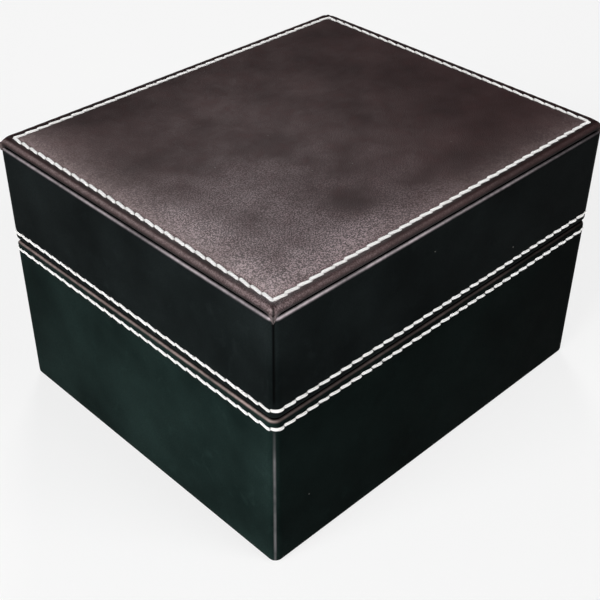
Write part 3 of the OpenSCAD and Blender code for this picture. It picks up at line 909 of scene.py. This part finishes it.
def roll_rub_and_highlight(x, y):
    """How strongly the rolled edge is scuffed and given a painted highlight: most on the left side, then at
    the near end of the front.
    """
    if TOP_X - abs(x) < TOP_Y - abs(y):
        return 0.60 if x < 0 else 0.12
    return 0.36 - 0.28 * (TOP_X + x) / (2 * TOP_X) if y < 0 else 0.12


def panel_rub_and_highlight(x, y):
    """Scuffing and painted highlight on the padded top: beside its left and front seams, and along its
    roll.
    """
    left, front = TOP_X + x, TOP_Y + y
    d = min(TOP_X - abs(x), TOP_Y - abs(y))
    if d <= SEAM_IN - 0.2:
        return roll_rub_and_highlight(x, y) * bell(d - 0.42, 0.34)
    back_way, far_way = front / (2 * TOP_Y), left / (2 * TOP_X)
    by_left = (0.60 + 0.20 * back_way) * math.exp(-(left - SEAM_IN) / (4.2 + 1.2 * back_way))
    by_front = 0.42 * math.exp(-(front - SEAM_IN) / (2.8 + 1.8 * far_way))
    return 1 - (1 - by_left) * (1 - by_front)


def panel_lines(half):
    """Places of the lines of the panel's mesh, close together beside the edge and the seam."""
    insets = [EDGE_LINE, 0.28, 0.5, 0.8, 1.1, 1.4, 1.7, 2.0, 2.25, 2.45]
    insets += [SEAM_IN, 2.85, 3.05, 3.3, 3.6, 4.0, 4.5, 5.1]
    inner = half - insets[-1]
    steps = round(2 * inner / PANEL_STEP)
    middle = [-inner + 2 * inner * k / steps for k in range(1, steps)]
    low = [-(half - d) for d in insets]
    return low + middle + [-v for v in reversed(low)]


class DISPLAYBOX_OT_top_panel(Operator):
    """Makes the padded top with its rolled edge and sewn channel"""

    bl_idname = "display_box.top_panel"
    bl_label = "Padded top panel"

    def execute(self, context):
        panel, thread = context.scene.box_panel, context.scene.box_thread
        xs, ys = panel_lines(TOP_X), panel_lines(TOP_Y)
        bm = bmesh.new()
        column, line = (bm.verts.layers.int.new(name) for name in ("column", "line"))
        wear_and_highlight, crevice_shade, painted_light, polish_and_sheen = (
            bm.verts.layers.float.new(name) for name in ("wear_and_highlight", "crevice_shade", "painted_light", "polish_and_sheen")
        )
        bmesh.ops.create_grid(bm, x_segments=len(xs) - 1, y_segments=len(ys) - 1, size=1)
        for v in bm.verts:
            i = round((v.co.x + 1) / 2 * (len(xs) - 1))
            j = round((v.co.y + 1) / 2 * (len(ys) - 1))
            x, y = xs[i], ys[j]
            v[column], v[line] = i, j
            v.co = panel_surface(x, y, panel, thread)
            d = min(TOP_X - abs(x), TOP_Y - abs(y))
            # painted shade in the trough between the rolled edge and the seam
            v[crevice_shade] = 0.46 * bell(d - 1.70, 0.60)
            # scuffing and painted highlight beside the seams and on the roll
            v[wear_and_highlight] = panel_rub_and_highlight(x, y)
            # how smooth the padded top is and how strong its painted sheen, less on the roll
            v[polish_and_sheen] = panel_polish_and_sheen(TOP_X + x, TOP_Y + y) * (0.62 if d < SEAM_IN - 0.4 else 1.0)
            # painted light: brighter where the sheen is painted
            v[painted_light] = 0.72 + 0.36 * v[polish_and_sheen]
        edges = [e for e in bm.edges if e.is_boundary]
        # the last number of each ring is how dark the painted shade under the rolled edge is
        skirt = (  # inset, height, how far the corners are drawn down, how dark
            (0.0, 1.10, 0.3, 0.60), (0.03, 0.82, 1.0, 0.92), (0.15, 0.52, 1.7, 1.0),
            (0.42, 0.22, 1.6, 1.0), (0.80, 0.06, 0.6, 1.0), (1.6, 0.0, 0.0, 1.0),
        )
        for inset, z, drop, dark in skirt:
            verts, edges = extruded(bm, edges)
            for v in verts:
                x, y = xs[v[column]], ys[v[line]]
                tip = bell(math.hypot(TOP_X - abs(x), TOP_Y - abs(y)), 1.2)
                draw = 0.22 * tip if inset < 0.7 else 0.0
                v.co = Vector((
                    x * (TOP_X - inset + draw) / (TOP_X - EDGE_LINE),
                    y * (TOP_Y - inset + draw) / (TOP_Y - EDGE_LINE),
                    COVER_LOW.z + z - drop * tip,
                ))
                # a pale painted highlight on the pinched corner tip, and scuffing with painted highlight
                # along the roll's outer line
                v[wear_and_highlight] = max(tip, 0.25 * roll_rub_and_highlight(x, y) if inset == 0.0 else 0.0)
                # painted shade under the rolled edge, none at the tip
                v[crevice_shade] = dark * (1 - tip)
        bmesh.ops.contextual_create(bm, geom=edges)
        # a pale painted highlight, with scuffing, beside the seams, on the roll and at the corner tip, and
        # a painted sheen
        skin = leatherette(
            "top leatherette", tuple(panel.colour), rub_highlight_colour=(0.45, 0.355, 0.352), grain=0.56, depth=0.040,
            roughness=0.35, gloss=0.30, dust=5.0, creases=0.16, polished_with_sheen=True,
        )
        made = piece(bm, "padded_top", skin, "lid", ("top_panel_cover",), sharp=60)
        return {"FINISHED"}


# ---------------------------------------------------------------- thread


def sewn_row(places, radius, half_length, slant, seed):
    """A row of plump stitches. Each entry of places turns a stitch's (along, across, up) into a place."""
    rng = random.Random(seed)
    bm = bmesh.new()
    # how much painted shade each point of a stitch gets
    stitch_end_shade = bm.verts.layers.float.new("stitch_end_shade")
    for place in places:
        turn = math.tan(slant) * rng.uniform(0.75, 1.2)
        thick = radius * rng.uniform(0.95, 1.04)
        shift = rng.uniform(-0.05, 0.05)
        lean = rng.uniform(-0.05, 0.05)
        for v in bmesh.ops.create_uvsphere(bm, u_segments=6, v_segments=8, radius=1)["verts"]:
            t = 1 - 2 * math.acos(max(-1.0, min(1.0, v.co.z))) / math.pi
            swell = thick * (1 - t ** 6) ** 0.5 / max(math.hypot(v.co.x, v.co.y), 1e-6)
            along = t * half_length
            across = v.co.x * swell + turn * along + shift
            up = v.co.y * swell * 0.92 - 0.12 * t ** 6 + lean * 0.5
            v.co = place(along, across, up)
            # painted shade toward the stitch's ends
            v[stitch_end_shade] = abs(t) ** 5
    return bm


class DISPLAYBOX_OT_stitching(Operator):
    """Sews the three rows of white thread, stitch by stitch"""

    bl_idname = "display_box.stitching"
    bl_label = "Stitching"

    def execute(self, context):
        thread, panel = context.scene.box_thread, context.scene.box_panel
        cotton = twisted_thread(tuple(thread.colour))
        radius = thread.thickness * METRE / 2
        outline = rim_outline()
        count = row_count(thread)
        pitch = outline.length / count
        for body, row, seed in (("base", BASE_ROW, 3), ("lid", LID_ROW, 4)):
            places = [
                lambda a, b, c, s=(k + 0.5) * pitch, z=row: outline.point(s + a, 0.16 - c, z - b)
                for k in range(count)
            ]
            piece(
                sewn_row(places, radius, pitch / 2 + 0.27, thread.slant, seed), f"{body}_stitches", cotton,
                body, (f"{body}_rim_stitching",), sharp=80,
            )
        half_x, half_y = TOP_X - SEAM_IN, TOP_Y - SEAM_IN
        level = COVER_LOW.z + 2 * ROLL_R - panel.channel * METRE + 0.16
        pitch_x, pitch_y = top_pitches(thread)
        places = []
        for sign in (-1, 1):
            for k in range(round(2 * half_x / pitch_x)):
                x = -half_x + (k + 0.5) * pitch_x
                places.append(lambda a, b, c, x=x, s=sign: Vector((x - a * s, (half_y + b) * s, level + c)))
            for k in range(round(2 * half_y / pitch_y)):
                y = -half_y + (k + 0.5) * pitch_y
                places.append(lambda a, b, c, y=y, s=sign: Vector(((half_x + b) * s, y + a * s, level + c)))
        piece(
            sewn_row(places, radius * 0.86, pitch_x / 2 + 0.30, thread.slant, 5), "top_stitches", cotton,
            "lid", ("top_panel_stitching",), sharp=80,
        )
        return {"FINISHED"}


# ---------------------------------------------------------------- linings


def wall_ring(walls, edge):
    """A ring of velvet-covered walls with soft upper edges, in the place of the CAD's four walls."""
    (low, high), right, back = (sizes(f"{walls}_{side}") for side in ("front", "right", "back"))
    thick = right[1].x - right[0].x
    levels = [low.z + (high.z - low.z) * t for t in (0.25, 0.5, 0.75)]
    soft = arc_rings(high.z - edge, edge, 0, 90, 4)
    foot = edge * 0.4
    rings = [(0, low.z + foot)] + [(0, z) for z in levels] + soft
    rings += [(thick - inset, z) for inset, z, *_ in reversed(soft)]
    rings += [(thick, z) for z in reversed(levels)]
    rings += [(thick, low.z + foot), (thick - foot, low.z), (foot, low.z)]
    return lofted(Outline(right[1].x, back[1].y, WALL_R), rings, 4 * 90, closed=False)


def four_walls(walls):
    return [f"{walls}_{side}" for side in ("front", "back", "left", "right")]


def merged_copy(node, shrink):
    """A CAD node's shape in millimetres, its loose triangles joined and its sides drawn in by shrink."""
    bm = bmesh.new()
    bm.from_mesh(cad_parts[node].data)
    bm.transform(Matrix.Scale(METRE, 4))
    bmesh.ops.remove_doubles(bm, verts=bm.verts, dist=0.002)
    low, high = sizes(node)
    half = (high - low) / 2
    bm.transform(Matrix.Diagonal((1 - shrink / half.x, 1 - shrink / half.y, 1, 1)))
    return bm


class DISPLAYBOX_OT_linings(Operator):
    """Lines the base and the lid with velvet, and puts felt under the base"""

    bl_idname = "display_box.linings"
    bl_label = "Velvet linings"

    def execute(self, context):
        lining = context.scene.box_lining
        cloth = velvet("lining velvet", tuple(lining.velvet_colour))
        edge = lining.velvet_round * METRE
        piece(wall_ring("lining", edge), "velvet_collar", cloth, "base", four_walls("lining"))
        ring = wall_ring("lid_lining", edge * 0.9)
        low, high = sizes("lid_lining_front")
        there = Matrix.Translation((0, 0, (low.z + high.z) / 2))
        bmesh.ops.transform(
            ring, matrix=there @ Matrix.Scale(-1, 4, (0, 0, 1)) @ there.inverted(), verts=ring.verts,
        )
        piece(ring, "lid_velvet", cloth, "lid", four_walls("lid_lining"))
        floor = bevelled_block(*sizes("floor_lining"), 0.5)
        piece(floor, "floor_velvet", cloth, "base", ("floor_lining",))
        dress(cloth, "ledge_left", "ledge_right")
        foot = bevelled_block(*sizes("base_felt"), 0.45)
        piece(foot, "felt_foot", felt(), "base", ("base_felt",))
        return {"FINISHED"}


def recess_disc():
    """The padded disc in the pad's recess, turned from half of its section."""
    low, high = sizes("recess_disc")
    centre = (low + high) / 2
    radius = high.x - centre.x
    profile = [(0, low.z), (radius - 0.5, low.z), (radius - 0.1, low.z + 0.3), (radius, low.z + 0.6)]
    profile += [(radius - 0.12, high.z - 0.42), (radius - 0.6, high.z - 0.22)]
    profile += [(radius - 2.5, high.z - 0.12)]
    profile += [(radius * t, high.z - 0.12 * t) for t in (0.75, 0.5, 0.25)] + [(0, high.z)]
    bm = bmesh.new()
    verts, edges = chain(bm, [(centre.x + r, centre.y, z) for r, z in profile])
    bmesh.ops.spin(
        bm, geom=verts + edges, cent=(centre.x, centre.y, 0), axis=(0, 0, 1), angle=2 * math.pi,
        steps=96, use_merge=True,
    )
    bmesh.ops.remove_doubles(bm, verts=bm.verts, dist=0.001)
    return bm


def ribbon_loop():
    """The ribbon: up out of the pad, over and back down, a little wavy where it stands free of the pad."""
    low, high = sizes("ribbon_tab")
    middle = (low.y + high.y) / 2
    gap = (high.y - low.y) / 2 - 0.2
    bend, free = high.z - 0.2 - gap, 46
    rise = [(middle - gap, z) for z in (low.z, 34, 38, 42, 45, 47, 49, 51, bend)]
    turn = [math.pi * k / 8 for k in range(1, 8)]
    over = [(middle - gap * math.cos(a), bend + gap * math.sin(a)) for a in turn]
    path = rise + over + [(2 * middle - y, z) for y, z in reversed(rise)]
    bm = bmesh.new()
    edges = chain(bm, [(low.x, y, z) for y, z in path])[1]
    steps = 12
    for _ in range(steps):
        verts, edges = extruded(bm, edges)
        bmesh.ops.translate(bm, vec=((high.x - low.x) / steps, 0, 0), verts=verts)
    for v in bm.verts:
        if v.co.z > free:
            wave = math.sin(v.co.x * 0.55 + v.co.z * 0.35)
            v.co.y += 0.12 * wave * min(1.0, (v.co.z - free) / 3)
    bmesh.ops.recalc_face_normals(bm, faces=bm.faces)
    bmesh.ops.solidify(bm, geom=bm.faces[:], thickness=0.32)
    return bm


class DISPLAYBOX_OT_watch_pad(Operator):
    """Makes the lift-out velvet pad, its padded disc and its ribbon"""

    bl_idname = "display_box.watch_pad"
    bl_label = "Watch pad"

    def execute(self, context):
        lining = context.scene.box_lining
        cloth = velvet("pad velvet", toned(lining.velvet_colour, 0.97), 12.0)
        shape = merged_copy("watch_pad", 0.7)
        pad = piece(shape, "velvet_pad", cloth, "watch_insert", ("watch_pad",))
        plump(pad, "watch_pad", voxel=1.9, pressure=lining.pressure, reach=1.6, proud=1.4)
        disc = piece(recess_disc(), "recess_cushion", cloth, "watch_insert", ("recess_disc",))
        weave = grosgrain(tuple(lining.ribbon_colour))
        piece(ribbon_loop(), "pull_ribbon", weave, "watch_insert", ("ribbon_tab",), sharp=50)
        dress(greyboard(), "pad_board")
        return {"FINISHED"}


def plump(target, node, voxel, pressure, reach, proud, down=False):
    """Swells a padded piece with a short cloth simulation, then rounds it.

    voxel is the width of its new mesh's faces, in millimetres. The side on the board is held flat: the
    upper one if the padding faces down, else the lower one. No point moves further than reach millimetres,
    or leaves the box of its CAD node by more than proud millimetres on its free side."""
    low, high = (Vector(v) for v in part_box(node))
    modifier = target.modifiers.new("even", "REMESH")
    modifier.mode = "VOXEL"
    modifier.voxel_size = voxel / METRE
    settle(target)
    before = [v.co.copy() for v in target.data.vertices]
    target.data.transform(Matrix.Scale(CLOTH_SCALE, 4))
    held = target.vertex_groups.new(name="held")
    board = high.z if down else low.z
    held.add([k for k, co in enumerate(before) if abs(co.z - board) < 1.2 / METRE], 1.0, "REPLACE")
    cloth = target.modifiers.new("cloth", "CLOTH")
    cloth.settings.quality = 5
    cloth.settings.mass = 0.3
    cloth.settings.tension_stiffness = 8
    cloth.settings.compression_stiffness = 8
    cloth.settings.bending_stiffness = 0.6
    cloth.settings.use_pressure = True
    cloth.settings.uniform_pressure_force = pressure
    cloth.settings.vertex_group_mass = held.name
    cloth.settings.effector_weights.gravity = 0
    cloth.collision_settings.use_collision = False
    scene = bpy.context.scene
    for number in range(1, CLOTH_FRAMES + 1):
        scene.frame_set(number)
    settle(target)
    scene.frame_set(1)
    target.vertex_groups.clear()
    target.data.transform(Matrix.Scale(1 / CLOTH_SCALE, 4))
    for v, start in zip(target.data.vertices, before):
        way = v.co - start
        if way.length > reach / METRE:
            way = way.normalized() * reach / METRE
        v.co = start + way
    if down:
        low.z -= proud / METRE
    else:
        high.z += proud / METRE
    bm = bmesh.new()
    bm.from_mesh(target.data)
    bmesh.ops.subdivide_edges(bm, edges=bm.edges[:], cuts=1, use_grid_fill=True)
    for _ in range(3):
        bmesh.ops.smooth_vert(
            bm, verts=bm.verts, factor=0.5, use_axis_x=True, use_axis_y=True, use_axis_z=True,
        )
    for v in bm.verts:
        v.co = Vector(min(max(c, a), b) for c, a, b in zip(v.co, low, high))
    for face in bm.faces:
        face.smooth = True
    bm.to_mesh(target.data)
    bm.free()


def sewn_border(target, node, inset, depth):
    """Sews a channel round the free lower side of the lid's cushion, and gathers the cloth beside it."""
    low, high = sizes(node)
    middle, half = (low + high) / 2, (high - low) / 2
    moves = []
    for v in target.data.vertices:
        place = v.co * METRE - middle
        dx, dy = half.x - abs(place.x), half.y - abs(place.y)
        d = 0.5 * (dx + dy - math.hypot(dx - dy, 2.5))
        along = place.y if dx < dy else place.x
        sink = depth * bell(d - inset, 1.1)
        gather = math.cos(2 * math.pi * along / 7.0 + 1.3 * math.sin(along / 9.0))
        sink += 0.14 * gather * bell(d - inset, 3.2)
        moves.append(sink / METRE if v.normal.z < -0.4 and d > 1.0 else 0.0)
    for v, rise in zip(target.data.vertices, moves):
        v.co.z += rise


class DISPLAYBOX_OT_lid_cushion(Operator):
    """Makes the padded satin cushion inside the lid"""

    bl_idname = "display_box.lid_cushion"
    bl_label = "Satin lid cushion"

    def execute(self, context):
        lining = context.scene.box_lining
        cloth = satin(tuple(lining.satin_colour))
        shape = merged_copy("lid_lining_pad", 0.5)
        cushion = piece(shape, "satin_cushion", cloth, "lid", ("lid_lining_pad",))
        plump(
            cushion, "lid_lining_pad", voxel=1.5, pressure=lining.pressure, reach=1.4, proud=1.2, down=True,
        )
        sewn_border(cushion, "lid_lining_pad", inset=8.5, depth=0.75)
        return {"FINISHED"}


# ---------------------------------------------------------------- fittings


class DISPLAYBOX_OT_fittings(Operator):
    """Finishes the boards, the hinges, the brads and the magnets"""

    bl_idname = "display_box.fittings"
    bl_label = "Boards and fittings"

    def execute(self, context):
        dress(
            greyboard(), "base_floor_board", "base_front_board", "base_back_board", "base_left_board",
            "base_right_board", "lid_front_board", "lid_back_board", "lid_left_board",
            "lid_right_board", "lid_top_board", "top_panel_card",
        )
        brass = metal("hinge brass", (0.80, 0.58, 0.24), (0.42, 0.29, 0.12), 0.30, 0.16)
        steel = metal("bright steel", (0.62, 0.62, 0.64), (0.34, 0.34, 0.36), 0.26, 0.12)
        dress(brass, "base_hinge_leaves", "lid_hinge_leaves")
        dress(steel, "hinge_pins", "base_hinge_brads", "lid_hinge_brads", "base_magnets", "lid_magnets")
        block = bevelled_block(*sizes("top_panel_foam"), 0.15, 2)
        foam = piece(block, "panel_padding", open_foam(), "lid", ("top_panel_foam",))
        return {"FINISHED"}


# ---------------------------------------------------------------- stage


def lamp(name, place, aim, side, power):
    """A square softbox that faces a height above the middle of the floor."""
    data = bpy.data.lights.new(name, "AREA")
    data.shape = "RECTANGLE"
    data.size = data.size_y = side
    data.energy = power
    made = bpy.data.objects.new(name, data)
    made.location = place
    made.rotation_euler = (Vector((0, 0, aim)) - Vector(place)).to_track_quat("-Z", "Y").to_euler()
    bpy.context.scene.collection.objects.link(made)


def seen_directly(nodes):
    """1 for camera, glossy and transmission rays."""
    rays = nodes.put("ShaderNodeLightPath").outputs
    found = nodes.calc("MAXIMUM", rays["Is Camera Ray"], rays["Is Glossy Ray"])
    return nodes.calc("MAXIMUM", found, rays["Is Transmission Ray"])


def studio_floor(colour):
    """A wide floor that looks whiter than the light it gives back."""
    bm = bmesh.new()
    bmesh.ops.create_circle(bm, cap_ends=True, segments=96, radius=FLOOR_R * METRE)
    floor = object_from(bm, "studio_floor")
    pale = Finish("pale floor", Roughness=0.9, Specular_IOR_Level=0.0, Base_Color=(*colour, 1))
    glow = pale.put("ShaderNodeEmission", Color=(1, 1, 1, 1), Strength=1.0)
    share = pale.times(seen_directly(pale), 0.72)
    mixed = pale.join("ShaderNodeMixShader", (share, pale.shader.outputs[0], glow.outputs[0]))
    pale.fill(pale.tree.nodes["Material Output"], Surface=mixed.outputs[0])
    floor.data.materials.append(pale.material)


def white_room(ambient):
    """Surroundings that are white at the horizon and dim overhead."""
    world = bpy.data.worlds.new("white room")
    bpy.context.scene.world = world
    world.use_nodes = True
    nodes = Nodes(world.node_tree)
    way = nodes.put("ShaderNodeTexCoord").outputs["Generated"]
    height = nodes.put("ShaderNodeSeparateXYZ", Vector=way).outputs["Z"]
    strength = nodes.spread(height, 0.02, 0.10, 1.0, ambient)
    nodes.fill(nodes.tree.nodes["Background"], Color=(1, 1, 1, 1), Strength=strength)


def photo_camera():
    """The camera as fitted to the seams and edges in the photo."""
    data = bpy.data.cameras.new("photo camera")
    data.lens = CAMERA_LENS
    data.sensor_width = 36
    data.sensor_fit = "HORIZONTAL"
    data.clip_start, data.clip_end = 0.01, 100
    camera = bpy.data.objects.new("photo camera", data)
    camera.location = CAMERA_PLACE
    camera.rotation_euler = Euler([math.radians(a) for a in CAMERA_TURN], "XYZ")
    bpy.context.scene.collection.objects.link(camera)
    bpy.context.scene.camera = camera


class DISPLAYBOX_OT_stage(Operator):
    """Sets the pale floor, the soft lamps and the camera"""

    bl_idname = "display_box.stage"
    bl_label = "Stage"

    def execute(self, context):
        stage = context.scene.box_stage
        context.scene.view_settings.view_transform = "Standard"
        studio_floor(tuple(stage.floor_colour))
        white_room(stage.ambient)
        for settings in LAMPS:
            lamp(*settings)
        photo_camera()
        return {"FINISHED"}


# ---------------------------------------------------------------- add-on


SETTINGS = {
    "box_shell": BoxShellSettings,
    "box_panel": BoxPanelSettings,
    "box_thread": BoxThreadSettings,
    "box_lining": BoxLiningSettings,
    "box_stage": BoxStageSettings,
}
OPERATORS = (
    DISPLAYBOX_OT_stage,
    DISPLAYBOX_OT_shells,
    DISPLAYBOX_OT_top_panel,
    DISPLAYBOX_OT_stitching,
    DISPLAYBOX_OT_linings,
    DISPLAYBOX_OT_watch_pad,
    DISPLAYBOX_OT_lid_cushion,
    DISPLAYBOX_OT_fittings,
)


class DISPLAYBOX_PT_sidebar(Panel):
    """The pieces of the display box and their settings"""

    bl_label = "Display box"
    bl_space_type = "VIEW_3D"
    bl_region_type = "UI"
    bl_category = "Display box"

    def draw(self, context):
        for name, group in SETTINGS.items():
            box = self.layout.box()
            for key in group.__annotations__:
                box.prop(getattr(context.scene, name), key)
        for operator in OPERATORS:
            self.layout.operator(operator.bl_idname)


def register():
    for group in SETTINGS.values():
        bpy.utils.register_class(group)
    for operator in OPERATORS:
        bpy.utils.register_class(operator)
    bpy.utils.register_class(DISPLAYBOX_PT_sidebar)
    for name, group in SETTINGS.items():
        setattr(bpy.types.Scene, name, PointerProperty(type=group))


def unregister():
    for name in SETTINGS:
        delattr(bpy.types.Scene, name)
    bpy.utils.unregister_class(DISPLAYBOX_PT_sidebar)
    for cls in (*OPERATORS, *SETTINGS.values()):
        bpy.utils.unregister_class(cls)


def main():
    register()
    bpy.ops.display_box.stage()
    bpy.ops.display_box.shells()
    bpy.ops.display_box.top_panel()
    bpy.ops.display_box.stitching()
    bpy.ops.display_box.linings()
    bpy.ops.display_box.watch_pad()
    bpy.ops.display_box.lid_cushion()
    bpy.ops.display_box.fittings()


if __name__ == "__main__":
    main()
